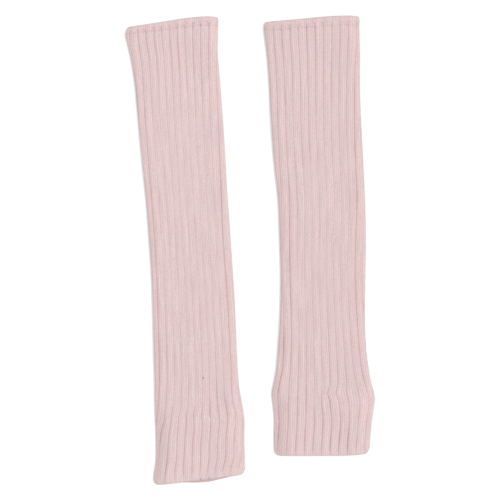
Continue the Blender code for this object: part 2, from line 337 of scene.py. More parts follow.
LEFT_FOLDS = [
    Fold(-1.2, 28.0, 0.8, 1.0, 16.0, 0.0),
    Fold(17.0, 150.0, 0.3, 2.5, 50.0, 0.0),
    Fold(7.5, 180.0, 0.3, 2.0, 70.0, 0.0),
    Fold(-0.9, 250.0, 0.3, 1.0, 130.0, 0.0),
    Fold(2.5, 300.0, 0.3, 2.5, 60.0, 0.0),
    Fold(15.0, 330.0, 0.3, 2.0, 60.0, 0.0),
    Fold(4.0, 428.0, 0.5, 5.0, 5.0, 0.9),
    Fold(6.0, 434.8, 0.4, 4.5, 2.2, 0.0),
    Fold(11.0, 452.0, 0.5, 3.5, 25.0, 0.0),
    Fold(0.3, 465.0, 0.5, 0.9, 25.0, 0.0),
]
RIGHT_FOLDS = [
    Fold(2.5, 150.0, 0.3, 2.0, 60.0, 0.0),
    Fold(10.3, 200.0, -0.4, 2.2, 180.0, 0.0),
    Fold(16.5, 220.0, 0.3, 2.5, 60.0, 0.0),
    Fold(-0.7, 240.0, 0.4, 1.2, 120.0, 0.0),
    Fold(8.5, 240.0, 0.3, 2.0, 60.0, 0.0),
    Fold(8.5, 404.0, 0.5, 2.5, 5.0, 2.0),
    Fold(3.5, 410.0, 0.5, 4.5, 5.0, 0.7),
    Fold(5.0, 413.0, 0.35, 5.0, 2.4, 0.0),
    Fold(-0.4, 426.0, 0.4, 0.9, 16.0, 0.0),
]

# One row for each place where ribs are drawn together more (over 0) or less (under 0).
#   rib, down       its middle
#   more            how much is added, where 1 is a rib drawn in fully
#   across, along   how many ribs, and how many millimetres of them, it fades over
Pull = namedtuple("Pull", "rib down more across along")

LEFT_PULLS = [
    Pull(10.0, 25.0, -0.8, 0.4, 40.0),
    Pull(2.5, 59.0, -0.3, 2.0, 18.0),
    Pull(10.0, 230.0, 0.5, 0.5, 150.0),
    Pull(0.0, 300.0, 0.45, 0.5, 110.0),
    Pull(1.0, 365.0, 0.5, 0.5, 30.0),
    Pull(0.0, 400.0, 0.4, 0.5, 25.0),
    Pull(8.0, 412.0, 0.5, 0.6, 18.0),
    Pull(4.0, 415.0, -0.35, 2.2, 12.0),
    Pull(9.0, 422.0, 0.4, 0.5, 12.0),
    Pull(7.0, 425.0, 0.45, 0.6, 10.0),
    Pull(7.0, 427.0, 0.35, 0.6, 4.0),
    Pull(11.0, 430.0, -0.4, 0.5, 25.0),
    Pull(5.0, 431.5, 0.45, 1.6, 4.0),
    Pull(5.5, 432.0, 0.4, 0.8, 5.0),
    Pull(6.5, 437.5, -0.25, 1.2, 3.0),
    Pull(10.0, 440.0, -0.35, 0.6, 8.0),
    Pull(1.0, 458.0, 0.6, 0.5, 12.0),
    Pull(4.5, 465.0, -0.15, 2.0, 20.0),
    Pull(8.0, 468.0, -0.15, 2.5, 20.0),
    Pull(11.0, 468.0, -0.5, 0.5, 20.0),
    Pull(2.0, 490.0, 0.45, 0.5, 15.0),
    Pull(5.5, 499.5, -0.35, 5.0, 4.5),
]
RIGHT_PULLS = [
    Pull(-1.0, 20.0, -0.7, 0.4, 45.0),
    Pull(10.0, 30.0, -0.6, 0.5, 22.0),
    Pull(3.5, 144.0, 0.45, 0.8, 22.0),
    Pull(2.0, 190.0, 0.3, 0.5, 30.0),
    Pull(10.0, 240.0, 0.55, 0.5, 120.0),
    Pull(1.0, 250.0, 0.7, 0.5, 110.0),
    Pull(0.0, 370.0, 0.6, 0.5, 40.0),
    Pull(4.0, 396.0, -0.3, 0.5, 10.0),
    Pull(6.5, 396.0, 0.45, 1.0, 14.0),
    Pull(5.0, 398.0, -0.45, 0.5, 12.0),
    Pull(2.0, 405.0, 0.35, 0.6, 10.0),
    Pull(0.0, 411.0, 0.8, 0.4, 4.0),
    Pull(4.0, 413.0, -0.5, 0.5, 12.0),
    Pull(9.5, 418.0, -0.6, 0.9, 12.0),
    Pull(0.0, 419.0, -0.5, 0.5, 10.0),
    Pull(5.5, 420.0, 0.3, 0.8, 8.0),
    Pull(3.0, 423.0, 0.5, 0.5, 10.0),
    Pull(1.5, 428.0, -0.2, 0.8, 10.0),
    Pull(4.0, 428.0, -0.3, 0.5, 8.0),
    Pull(9.0, 453.0, -0.5, 0.5, 12.0),
    Pull(0.0, 458.0, 0.7, 0.5, 18.0),
    Pull(6.5, 465.0, 0.25, 2.5, 12.0),
    Pull(5.0, 478.0, -0.3, 5.5, 3.0),
]

# One row for each leg warmer, with its tables.
#   top_x, top_y   where the middle of its top edge lies
#   band           how far down from there the band ends
#   linked         how hard the band's linking draws on the cloth
#   cuff_from      how far down from there the ankle cuff begins
Warmer = namedtuple(
    "Warmer", "name top_x top_y band linked cuff_from courses kinks folds pulls"
)
LEFT_TABLES = (LEFT_COURSES, LEFT_KINKS, LEFT_FOLDS, LEFT_PULLS)
RIGHT_TABLES = (RIGHT_COURSES, RIGHT_KINKS, RIGHT_FOLDS, RIGHT_PULLS)
PAIR = [
    Warmer("left", -85.4, 251.2, 8.8, 1.0, 434.0, *LEFT_TABLES),
    Warmer("right", 67.9, 254.3, 9.6, 0.9, 414.0, *RIGHT_TABLES),
]

# One row for each grey fleck: the warmer, where on the cloth, and how long. The first is lint, and
# the two at the left cuff's lip are painted shade, dark flecks put in two small holes of the knit
Fleck = namedtuple("Fleck", "warmer rib down length")
FLECKS = [
    Fleck("left", 6.15, 391.6, 3.0),
    # Painted shade: these two stand for the shade in two small holes at the cuff's lip
    Fleck("left", 6.2, 502.2, 2.6),
    Fleck("left", 7.4, 502.8, 2.2),
]

# One row for each strand of a fleck: its share of the fleck's length, and its turn in
# degrees from along the course
Strand = namedtuple("Strand", "share turn")
FLECK_STRANDS = [Strand(1.0, 110), Strand(0.7, 60), Strand(0.6, 15)]

# Strands of a fleck: half their width and height, and how far they lie off the cloth
FLECK_HALF_WIDTH = 0.45
FLECK_HALF_HEIGHT = 0.15
FLECK_LIFT = 0.1

# One step of the trip round a wall: how far down the tube it is, how deep in the
# cloth, and how far the trip has come
Step = namedtuple("Step", "down depth trip")

# One point of the cloth's outer form: its place, and the way out of the cloth
Spot = namedtuple("Spot", "x z out_x out_z")


def linear(hex_colour):
    """A linear colour from an sRGB hex string such as "e4c8c6"."""
    channels = (int(hex_colour[i : i + 2], 16) / 255 for i in (0, 2, 4))
    return tuple(c / 12.92 if c <= 0.04045 else ((c + 0.055) / 1.055) ** 2.4 for c in channels)


def colour(name, description, hex_colour):
    """A property for a colour, with an sRGB hex string as its default."""
    return FloatVectorProperty(
        name=name,
        description=description,
        default=linear(hex_colour),
        subtype="COLOR",
        min=0.0,
        max=1.0,
    )


def length(name, description, millimetres):
    """A property for a length in metres, with its default given in millimetres."""
    return FloatProperty(
        name=name, description=description, default=millimetres * MM, unit="LENGTH", precision=5
    )


def amount(name, description, value):
    """A property for a plain number that is never under 0."""
    return FloatProperty(name=name, description=description, default=value, min=0.0)


class KnitLook(bpy.types.PropertyGroup):
    """Sizes and colours of the rib knit."""

    course_height: length("Course height", "From one row of stitches to the next", 1.45)
    groove_half: length("Groove half width", "Half the width of the gap between ribs", 0.75)
    groove_depth: length("Groove depth", "Depth of the gap where ribs are drawn together", 0.65)
    crown: length("Rib crown", "How far the middle of a rib is rounded up", 0.2)
    column_relief: length("Stitch column relief", "How far a column of stitches stands up", 0.2)
    loft: length("Loft", "How far the soft yarn stands out past the folds", 0.25)
    droop: amount("Fold droop", "Share of the height lost where the tube folds", 0.22)
    droop_reach: length("Droop reach", "How far in from a fold the cloth droops", 6.5)
    ripple: length("Ripple", "How far the cloth lies off an even surface", 0.3)
    link_hole: length("Linking hole", "How deep the linking draws the cloth in", 0.8)
    link_yarn: length("Linking yarn", "Thickness of the yarn that links the band down", 0.45)
    stitch_bump: length("Stitch depth", "Depth of the loops within a column", 0.35)
    streak: amount("Streaks", "How much lighter or darker a column of stitches is", 0.06)
    speck: amount("Specks", "How much lighter or darker a speck of yarn is", 0.095)
    # Painted shade: how dark the gap between two columns of stitches is painted
    column_gap_shade: amount("Column line", "How dark the line between two columns is", 0.2)
    shading: amount("Shading", "How strong the shade in the gaps is", 0.52)
    pink: colour("Pink", "Main colour of the yarn", "dbc0c0")
    grey_pink: colour("Greyed pink", "Colour of the duller patches of the yarn", "d8c2c0")
    # Painted shade: the colour that the grooves, the linking's marks and the inside of the tube are
    # darkened towards
    shade_pink: colour("Shaded pink", "Colour between the ribs", "bf9799")
    # Lint and painted shade: the grey of the flecks, two of which stand for shade in holes at the
    # cuff's lip
    lint_and_shade_grey: colour("Lint grey", "Colour of the flecks", "a39294")


class StageLook(bpy.types.PropertyGroup):
    """Camera, light and floor."""

    view_width: length("View width", "Width of the surface that the picture shows", 550.0)
    aim_x: length("Aim X", "Where the camera looks, across", -0.2)
    aim_y: length("Aim Y", "Where the camera looks, up the leg", 0.3)
    lens: amount("Lens", "Focal length in millimetres", 85.0)
    sensor: amount("Sensor", "Width of the camera's sensor in millimetres", 36.0)
    key_power: amount("Key light", "Power of the large soft light at the right, in watts", 360.0)
    key_size: length("Key size", "Side of the large soft light", 4000.0)
    fill_power: amount("Fill light", "Power of the near light at the left, in watts", 11.0)
    edge_power: amount("Edge light", "Power of the low light at the right, in watts", 2.0)
    side_size: length("Side size", "Side of the two near lights", 1000.0)
    surround: amount("Surround", "Strength of the light from all round", 0.42)
    table_glow: amount("Table glow", "Light that comes up through the table", 0.2)
    table_white: colour("Table white", "Colour of the opal light table", "e8e8e8")
    key_white: colour("Key white", "Colour of the large soft light", "fffdfb")
    wall_white: colour("Wall white", "Colour of the light from all round", "f9fdff")


def course_at(courses, down):
    """The course at any distance down the tube, on a smooth curve through the rows."""
    last = len(courses) - 2
    row = max(0, min(last, sum(c.down <= down for c in courses) - 1))
    before, start = courses[max(row - 1, 0)], courses[row]
    end, after = courses[row + 1], courses[min(row + 2, last + 1)]
    span = end.down - start.down
    t = (down - start.down) / span
    slope_in = [(b - a) / (end.down - before.down) for a, b in zip(before, end)]
    slope_out = [(b - a) / (after.down - start.down) for a, b in zip(start, after)]
    values = []
    for a, b, m, n in zip(start, end, slope_in, slope_out):
        curve = (2 * t**3 - 3 * t**2 + 1) * a + (3 * t**2 - 2 * t**3) * b
        curve += ((t**3 - 2 * t**2 + t) * m + (t**3 - t**2) * n) * span
        values.append(curve)
    return Course(*values)


def half_round(course):
    """Length of the cloth from fold to fold over one layer, round both folds."""
    return course.width - course.height + math.pi * course.height / 2


def nearness(row, rib, down):
    """1 at the middle of a table's row, fading to 0 over its ribs and its millimetres."""
    along = (down - row.down) / row.along
    if abs(along) > FADED:
        return 0.0
    aside = min(abs(rib - row.rib), RIBS - abs(rib - row.rib)) / row.across
    return math.exp(-(aside**2) - along**2)


def kink_at(warmer, down, rib):
    """How far the kinks push a rib aside."""
    return sum(k.shift * nearness(k, rib, down) for k in warmer.kinks)


def run_of(warmer, course, rib):
    """How far round the tube a rib lies, from the left fold over the top."""
    half = half_round(course)
    from_rib = -course.first / course.pitch
    to_rib = (half - course.first) / course.pitch
    if rib < from_rib:
        rib += RIBS
    if rib <= to_rib:
        run = course.first + rib * course.pitch
        # Ribs crowd to the middle, and a kink dies away to the folds, which stay put
        across = 2 * run / half - 1
        crowded = course.bunch * (across**3 - across)
        return run + crowded + kink_at(warmer, course.down, rib) * (1 - across**4)
    return half + half * (rib - to_rib) / (RIBS - to_rib + from_rib)


def outline(course, run):
    """The place on the flattened tube's outline, from the left fold and the underside."""
    radius = course.height / 2
    flat = course.width - course.height
    half = half_round(course)
    quarter = math.pi * radius / 2
    over = run if run <= half else 2 * half - run
    if over < quarter:
        turn = over / radius
        centre, out_x, out_z = radius, -math.cos(turn), math.sin(turn)
    elif over > quarter + flat:
        turn = (half - over) / radius
        centre, out_x, out_z = radius + flat, math.cos(turn), math.sin(turn)
    else:
        centre, out_x, out_z = radius + over - quarter, 0.0, 1.0
    if run > half:
        out_z = -out_z
    return Spot(centre + radius * out_x, radius + radius * out_z, out_x, out_z)


def corner_drop(course, x, corner):
    """How far the course turns back at the rounded corners of an open end."""
    reach = min(x, course.width - x)
    if reach >= corner:
        return 0.0
    return corner - math.sqrt(corner**2 - (corner - max(reach, 0.0)) ** 2)


def smooth_step(value):
    """0 up to 0, 1 from 1 on, and a smooth ramp between them."""
    value = max(0.0, min(1.0, value))
    return value * value * (3 - 2 * value)


def place(warmer, course, x, z):
    """A point of one course in metres, where the leg warmer lies."""
    across = x / course.width
    lower_end = warmer.courses[-1].down
    y = -course.down
    y += course.rise * (across - 0.5)
    y += course.bow * math.sin(math.pi * max(across, 0.0) ** BOW_SKEW)
    bulge = math.exp(-(((across - UNDER_MIDDLE) / UNDER_SPREAD) ** 2))
    y -= course.under * (1 - smooth_step(z / course.height)) * bulge
    from_top = max(0.0, 1 - course.down / CORNER_FADE)
    from_end = max(0.0, 1 - (lower_end - course.down) / CORNER_FADE)
    y += corner_drop(course, x, ANKLE_CORNER) * from_end
    y -= corner_drop(course, x, TOP_CORNER) * from_top
    left = warmer.top_x + course.shift - course.width / 2
    return Vector(((left + x) * MM, (warmer.top_y + y) * MM, z * MM))


def groove_at(course, rib, look):
    """How much of a point lies in the gap between two ribs: 1 at the bottom."""
    near = abs(rib - round(rib)) * course.pitch
    return math.exp(-((near / (look.groove_half / MM)) ** GROOVE_CURVE))


def gather(course, spot):
    """How far the ribs are drawn together: less down the stretched leg, more by the folds."""
    edge = min(spot.x, course.width - spot.x)
    by_fold = math.exp(-(((edge - STRIP_MIDDLE) / STRIP_REACH) ** 2))
    drawn = (course.relief - LOOSE_RELIEF) / RELIEF_SPAN
    return max(0.0, drawn) + by_fold * max(0.0, 1 - drawn) * STRIP_DRAW


def rib_depth(warmer, course, rib, spot, relief, look):
    """How deep under the tube's outer form the face of the knit lies, and its groove share, which
    is also painted shade.
    """
    groove = groove_at(course, rib, look)
    part = rib - math.floor(rib)
    crown = look.crown / MM * (2 * part - 1) ** 2
    column = look.column_relief / MM * (0.5 + 0.5 * math.cos(2 * math.pi * STITCHES * part))
    own = Vector((round(rib) % RIBS * OWN_GROOVE, course.down / WANDER_LENGTH, warmer.top_x))
    wander = 1 + WANDER * noise.noise(own)
    drawn = LOOSE_DRAW + (1 - LOOSE_DRAW) * gather(course, spot)
    drawn += sum(p.more * nearness(p, rib, course.down) for p in warmer.pulls)
    share = groove * wander * max(0.0, drawn)
    depth = look.groove_depth / MM * share
    return relief * (depth + crown + column * (1 - groove)), share * relief


def own_pull(warmer, stitch):
    """How hard one linking stitch is drawn: most a little, and some about twice as hard."""
    own = Vector((stitch % (RIBS * STITCHES) * OWN_STITCH, warmer.top_x, 0.0))
    return (PULL_ROOT + PULL_SWING * noise.noise(own)) ** 2


def link_mark(warmer, course, rib):
    """How much of a point lies in the marks that linking the band down leaves.

    There is a small hole at each stitch, and each groove forks over its hole into two
    short slanted gathers, drawn by a stitch to its right and one to its left.
    """
    up = warmer.band - course.down
    if abs(up) > SEAM_REACH:
        return 0.0
    stitch = round(rib * STITCHES)
    aside = (rib - stitch / STITCHES) * course.pitch
    hole = math.exp(-((aside / HOLE_ACROSS) ** 2) - (up / HOLE_UP) ** 2)
    hole *= LINK_HOLES[stitch % STITCHES] * own_pull(warmer, stitch)
    groove = round(rib)
    pull = own_pull(warmer, groove * STITCHES + (2 if rib > groove else -1))
    aside = abs(rib - groove) * course.pitch - FORK_LEAN * pull * up
    fork = math.exp(-((aside / FORK_WIDTH) ** 2) - ((up - FORK_MIDDLE) / FORK_LENGTH) ** 2)
    return warmer.linked * max(hole, fork * pull)


def fold_depth(warmer, course, rib):
    """How deep the soft troughs lie at a point of the cloth."""
    return sum(
        f.depth * nearness(f, rib, course.down - f.lean * (rib - f.rib)) for f in warmer.folds
    )


def settle(course, x, z, rib, look, warmer):
    """The height of a point once the folds droop and the cloth lies a little uneven."""
    edge = min(x, course.width - x)
    swollen = (course.height - LEG_HEIGHT) / CUFF_SWELL
    reach = look.droop_reach / MM * (1 + SWELL_REACH * swollen)
    droop = look.droop * (1 + SWELL_DROOP * swollen) * math.exp(-((edge / reach) ** 2))
    wave = noise.noise(Vector((x / RIPPLE_ACROSS, course.down / RIPPLE_DOWN, warmer.top_x)))
    lift = look.ripple / MM * wave - fold_depth(warmer, course, rib)
    return z * (1 - droop) + z / course.height * lift


def spread_part(step):
    """Part of a rib at a mesh column, crowded to the grooves."""
    part = step / RIB_POINTS
    return part - GROOVE_CROWD * math.sin(2 * math.pi * part) / (2 * math.pi)


def column_rib(column):
    """Rib number at a mesh column, with the seam of the mesh on the underside."""
    return column // RIB_POINTS + spread_part(column % RIB_POINTS) + START_RIB


def face_point(warmer, course, rib, depth, relief, look):
    """The point of the cloth at a depth under its outer form, and its share of painted shade."""
    spot = outline(course, run_of(warmer, course, rib))
    ribs, shade = rib_depth(warmer, course, rib, spot, relief, look)
    deep = depth + ribs
    if relief > 0:
        mark = link_mark(warmer, course, rib)
        deep += mark * look.link_hole / MM
        # Painted shade in the holes and gathers that the linking leaves
        shade += LINK_SHADE * mark
    x, z = spot.x - spot.out_x * (deep - look.loft / MM), spot.z - spot.out_z * deep
    return place(warmer, course, x, settle(course, x, z, rib, look, warmer)), shade


def end_places(end, towards, wall, edge_round):
    """(down, depth) over one end of a wall, from its face to its lining."""
    if edge_round is OPEN_RIM:
        radius, turned = wall / 2, math.pi
    else:
        radius, turned = edge_round, math.pi / 2
    turns = [turned * i / RIM_ROWS for i in range(RIM_ROWS + 1)] if radius else [math.pi / 2]
    places = [
        (end + towards * radius * (1 - math.sin(t)), radius * (1 - math.cos(t))) for t in turns
    ]
    return places if edge_round is OPEN_RIM else [*places, (end, wall)]


def even_places(start, end, spacing):
    """Evenly spaced places from one to another, both among them."""
    count = max(2, math.ceil(abs(end[0] - start[0]) / spacing))
    return [
        tuple(a + (b - a) * i / count for a, b in zip(start, end)) for i in range(count + 1)
    ]


def wall_steps(start, end, wall, spacing, start_round, end_round, close=0.0):
    """The trip round a wall: down its face, over its lower end, up its lining and back.

    The first part of its face, as long as close, has rows as near as by the band's seam.
    """
    upper = end_places(start, 1, wall, start_round)
    lower = end_places(end, -1, wall, end_round)
    face_from, places = upper[0], []
    if close:
        face_from = (start + close, 0.0)
        places = even_places(upper[0], face_from, SEAM_ROW)[:-1]
    places += [*even_places(face_from, lower[0], spacing), *lower[1:-1]]
    places += [*even_places(lower[-1], upper[-1], LINING_ROW), *reversed(upper[:-1])]
    steps = [Step(*places[0], 0.0)]
    for down, depth in places[1:]:
        last = steps[-1]
        gone = math.hypot(down - last.down, depth - last.depth)
        steps.append(Step(down, depth, last.trip + gone))
    return steps


def new_object(name, bm, material):
    """Makes an object of what a bmesh holds, and frees the bmesh."""
    mesh = bpy.data.meshes.new(name)
    bm.to_mesh(mesh)
    bm.free()
    mesh.materials.append(material)
    made = bpy.data.objects.new(name, mesh)
    bpy.context.scene.collection.objects.link(made)
    return made


def smooth_piece(name, bm, material):
    """Makes a smooth piece of what a bmesh holds, on the leg warmers' body."""
    piece = new_object(name, bm, material)
    piece.data.shade_smooth()
    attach(piece, BODY)
    return piece


def knit_wall(name, warmer, steps, relief, look, material):
    """One closed wall of knit: a grid of stitches, drawn round the tube and round its wall.

    The further in a point is, the more of the painted shade between the stitches it takes.
    """
    columns, rows = RIBS * RIB_POINTS, len(steps) - 1
    bm = bmesh.new()
    stitches = bm.loops.layers.uv.new("stitches")
    shade = bm.verts.layers.float.new("shade")
    bmesh.ops.create_grid(bm, x_segments=columns, y_segments=rows, size=1.0)
    courses = [course_at(warmer.courses, s.down) for s in steps]

    def grid_place(vert):
        """The column and row of a point, while it still lies in the flat grid."""
        return round((vert.co.x + 1) / 2 * columns), round((vert.co.y + 1) / 2 * rows)

    for face in bm.faces:
        for loop in face.loops:
            column, row = grid_place(loop.vert)
            turn = column_rib(column) * STITCHES
            loop[stitches].uv = (turn, steps[row].trip * MM / look.course_height)
    for vert in bm.verts:
        column, row = grid_place(vert)
        depth = steps[row].depth
        inside = smooth_step(depth / INSIDE_DEPTH)
        vert.co, vert[shade] = face_point(
            warmer, courses[row], column_rib(column), depth, relief * (1 - inside), look
        )
        # Painted shade, darker at the rims and inside the tube
        vert[shade] += INSIDE_SHADE * inside
    bmesh.ops.remove_doubles(bm, verts=bm.verts, dist=WELD)
    bmesh.ops.recalc_face_normals(bm, faces=bm.faces)
    piece = smooth_piece(name, bm, material)
    piece.data.set_sharp_from_angle(angle=math.radians(SHARP_DEGREES))
    return piece


def declare_sheet(warmer, start, end):
    """Works out the mean length round a stretch of tube, and keeps nothing of it."""
    downs = [start + (end - start) * i / SHEET_STRETCHES for i in range(SHEET_STRETCHES + 1)]
    around = 2 * sum(half_round(course_at(warmer.courses, d)) for d in downs) / len(downs)


def cloth_frame(warmer, down, rib, depth, relief, look):
    """The lie of the cloth: at a point, X along the course, Y up the tube and Z out of it."""

    def point(down_there, rib_there):
        """A point of the cloth near this one."""
        course = course_at(warmer.courses, down_there)
        return face_point(warmer, course, rib_there, depth, relief, look)[0]

    middle = point(down, rib)
    along = (point(down, rib + LIE_RIB) - point(down, rib - LIE_RIB)).normalized()
    up = (point(down - LIE_DOWN, rib) - point(down + LIE_DOWN, rib)).normalized()
    out = along.cross(up).normalized()
    return Matrix.Translation(middle) @ Matrix((along, out.cross(along), out)).transposed().to_4x4()


def add_strand(bm, lie, degrees, half_sizes):
    """Lays a short round strand on the cloth, turned from along the course."""
    turn = Matrix.Rotation(math.radians(degrees), 4, "Z")
    shape = lie @ turn @ Matrix.Diagonal((*half_sizes, 1.0))
    bmesh.ops.create_uvsphere(
        bm, u_segments=STRAND_SIDES, v_segments=STRAND_RINGS, radius=1.0, matrix=shape
    )


def put_in_order(bm):
    """Sorts strands by where they lie, because their tool's own order varies between runs."""

    def corners(element):
        """The points of an edge or a face."""
        return sorted(vert.co[:] for vert in element.verts)

    keys = ((bm.verts, lambda vert: vert.co[:]), (bm.edges, corners), (bm.faces, corners))
    for elements, key in keys:
        for index, element in enumerate(sorted(elements, key=key)):
            element.index = index
        elements.sort()


def link_stitches(warmer, look, material):
    """One short slanted stitch over the band's lower edge for each column of the knit."""
    bm = bmesh.new()
    half_thick = look.link_yarn / 2
    half_sizes = (LINK_HALF_LENGTH * MM, half_thick, half_thick)
    for stitch in range(RIBS * STITCHES):
        rib = (stitch + 0.5) / STITCHES + START_RIB
        lie = cloth_frame(warmer, warmer.band, rib, half_thick / MM, BAND_RELIEF, look)
        slant = LINK_SLANT + LINK_SLANT_MORE * own_pull(warmer, stitch)
        add_strand(bm, lie, slant, half_sizes)
    put_in_order(bm)
    return smooth_piece(warmer.name + "_link_stitches", bm, material)


def lint_and_shade_fleck(bm, fleck, look):
    """One grey fleck: a few short strands that cross."""
    warmer = next(w for w in PAIR if w.name == fleck.warmer)
    lie = cloth_frame(warmer, fleck.down, fleck.rib, -FLECK_LIFT, FULL_RELIEF, look)
    for strand in FLECK_STRANDS:
        half_length = fleck.length * strand.share / 2
        half_sizes = (half_length * MM, FLECK_HALF_WIDTH * MM, FLECK_HALF_HEIGHT * MM)
        add_strand(bm, lie, strand.turn, half_sizes)


# The node for arithmetic, and the sockets of a Mix node that is set to colours
MATH = "ShaderNodeMath"
MIX_FROM, MIX_TO, MIX_RESULT = 6, 7, 2

# Most of a Noise node's values lie between these
NOISE_LOW = 0.3
NOISE_HIGH = 0.7


def add_node(tree, kind, inputs=(), **settings):
    """Adds a node with its settings and gives its outputs.

    Its inputs are in order or by name, and one that is another node's output is linked.
    """
    node = tree.nodes.new(kind)
    for name, value in settings.items():
        setattr(node, name, value)
    sockets = inputs if isinstance(inputs, dict) else dict(enumerate(inputs))
    for key, value in sockets.items():
        if isinstance(value, bpy.types.NodeSocket):
            tree.links.new(value, node.inputs[key])
        else:
            node.inputs[key].default_value = value
    return node.outputs


def unevenness(tree, vector, size, middle, swing, detail=2.0):
    """A value that wanders mostly between middle - swing and middle + swing.

    Its features are about one size across, in the vector's own unit.
    """
    inputs = {"Vector": vector, "Scale": 1 / size, "Detail": detail}
    inputs = {
        "Value": add_node(tree, "ShaderNodeTexNoise", inputs)["Fac"],
        "From Min": NOISE_LOW,
        "From Max": NOISE_HIGH,
        "To Min": middle - swing,
        "To Max": middle + swing,
    }
    return add_node(tree, "ShaderNodeMapRange", inputs)["Result"]


def specks(tree, body, strength):
    """Lighter and darker specks, which the yarn's own unevenness gives it."""
    return unevenness(tree, body, SPECK_SIZE * MM, 1.0, strength, detail=3.0)


def acrylic_rib_knit(name, look):
    """Soft acrylic yarn in rib stitch: matt, a little hazy at the edges, uneven in its dye, with
    painted shade between its ribs and columns.
    """
    material = bpy.data.materials.new(name)
    material.use_nodes = True
    tree = material.node_tree
    shader = tree.nodes["Principled BSDF"]
    shader.inputs["Roughness"].default_value = 0.9
    shader.inputs["IOR"].default_value = 1.49
    shader.inputs["Specular IOR Level"].default_value = 0.2
    shader.inputs["Sheen Weight"].default_value = 0.5
    shader.inputs["Sheen Roughness"].default_value = 0.4

    stitches = add_node(tree, "ShaderNodeUVMap", uv_map="stitches")["UV"]
    knit = add_node(tree, "ShaderNodeSeparateXYZ", [stitches])
    body = add_node(tree, "ShaderNodeTexCoord")["Object"]

    # How far a point is from the middle of its column: 0.5 at the column's edges
    part = add_node(tree, MATH, [knit["X"]], operation="FRACT")[0]
    from_middle = add_node(tree, MATH, [part, 0.5], operation="SUBTRACT")[0]
    aside = add_node(tree, MATH, [from_middle], operation="ABSOLUTE")[0]
    tree.links.new(stitch_loops(tree, knit, body, aside, look), shader.inputs["Normal"])
    tree.links.new(dye_and_painted_shade(tree, knit, body, aside, look), shader.inputs["Base Color"])
    return material


def stitch_loops(tree, knit, body, aside, look):
    """The relief of the loops: each stitch is a V, with fine hairs on its yarn."""
    # The two arms of each V climb outwards from the middle of the column
    climb = add_node(tree, MATH, [aside, ARM_CLIMB, knit["Y"]], operation="MULTIPLY_ADD")[0]
    arm = add_node(tree, MATH, [climb, HALF_ROW], operation="PINGPONG")[0]
    across = add_node(tree, MATH, [aside, ARM_ASIDE], operation="PINGPONG")[0]
    loop = add_node(tree, MATH, [arm, across], operation="MULTIPLY")[0]

    # The loop rises to 1, and the square root rounds it over
    rise = 1 / (HALF_ROW * ARM_ASIDE)
    loop = add_node(tree, MATH, [loop, rise], operation="MULTIPLY")[0]
    round_loop = add_node(tree, MATH, [loop, 0.5], operation="POWER", use_clamp=True)[0]

    inputs = {"Vector": body, "Scale": 1 / (KNIT_HAIR * MM)}
    hairs = add_node(tree, "ShaderNodeTexNoise", inputs)["Fac"]
    height = add_node(tree, MATH, [hairs, HAIR_SHARE, round_loop], operation="MULTIPLY_ADD")[0]
    inputs = {"Height": height, "Distance": look.stitch_bump, "Strength": BUMP_STRENGTH}
    return add_node(tree, "ShaderNodeBump", inputs)["Normal"]


def dye_and_painted_shade(tree, knit, body, aside, look):
    """The yarn's colour, lighter and darker by column and by speck, with painted shade in its gaps.
    """
    # Each column of stitches is lighter or darker, and changes along its length
    column = add_node(tree, MATH, [knit["X"]], operation="FLOOR")[0]
    own = add_node(tree, MATH, [column, OWN_COLUMN], operation="MULTIPLY")[0]
    drift = add_node(tree, MATH, [knit["Y"], STREAK_DRIFT], operation="MULTIPLY")[0]
    thread = add_node(tree, "ShaderNodeCombineXYZ", [own, drift])["Vector"]
    streaks = unevenness(tree, thread, 1.0, 1.0, look.streak)
    dye = add_node(tree, MATH, [streaks, specks(tree, body, look.speck)], operation="MULTIPLY")[0]

    # Painted shade between the columns, which leaves the mean as it is
    beside = add_node(tree, MATH, [aside, 2.0], operation="MULTIPLY")[0]
    gap = add_node(tree, MATH, [beside, GAP_SHADE_POWER], operation="POWER")[0]
    lightest = 1.0 + look.column_gap_shade / (GAP_SHADE_POWER + 1)
    inputs = [gap, -look.column_gap_shade, lightest]
    line = add_node(tree, MATH, inputs, operation="MULTIPLY_ADD")[0]
    light = add_node(tree, MATH, [dye, line], operation="MULTIPLY")[0]

    # Duller patches, longer up the leg than across it
    inputs = {"Vector": body, "Scale": PATCH_STRETCH}
    stretched = add_node(tree, "ShaderNodeMapping", inputs)["Vector"]
    dull = unevenness(tree, stretched, PATCH_SIZE * MM, 0.5, 0.5)
    inputs = {"Factor": dull, MIX_FROM: (*look.pink, 1), MIX_TO: (*look.grey_pink, 1)}
    yarn = add_node(tree, "ShaderNodeMix", inputs, data_type="RGBA")[MIX_RESULT]
    inputs = {0: yarn, "Scale": light}
    lit = add_node(tree, "ShaderNodeVectorMath", inputs, operation="SCALE")[0]

    # Painted shade between the ribs, at the linking's marks and inside the tube
    shade = add_node(tree, "ShaderNodeAttribute", attribute_name="shade")["Fac"]
    mottle = unevenness(tree, body, MOTTLE_SIZE * MM, look.shading, MOTTLE * look.shading)
    deep = add_node(tree, MATH, [shade, mottle], operation="MULTIPLY", use_clamp=True)[0]
    inputs = {"Factor": deep, MIX_FROM: lit, MIX_TO: (*look.shade_pink, 1)}
    return add_node(tree, "ShaderNodeMix", inputs, data_type="RGBA")[MIX_RESULT]


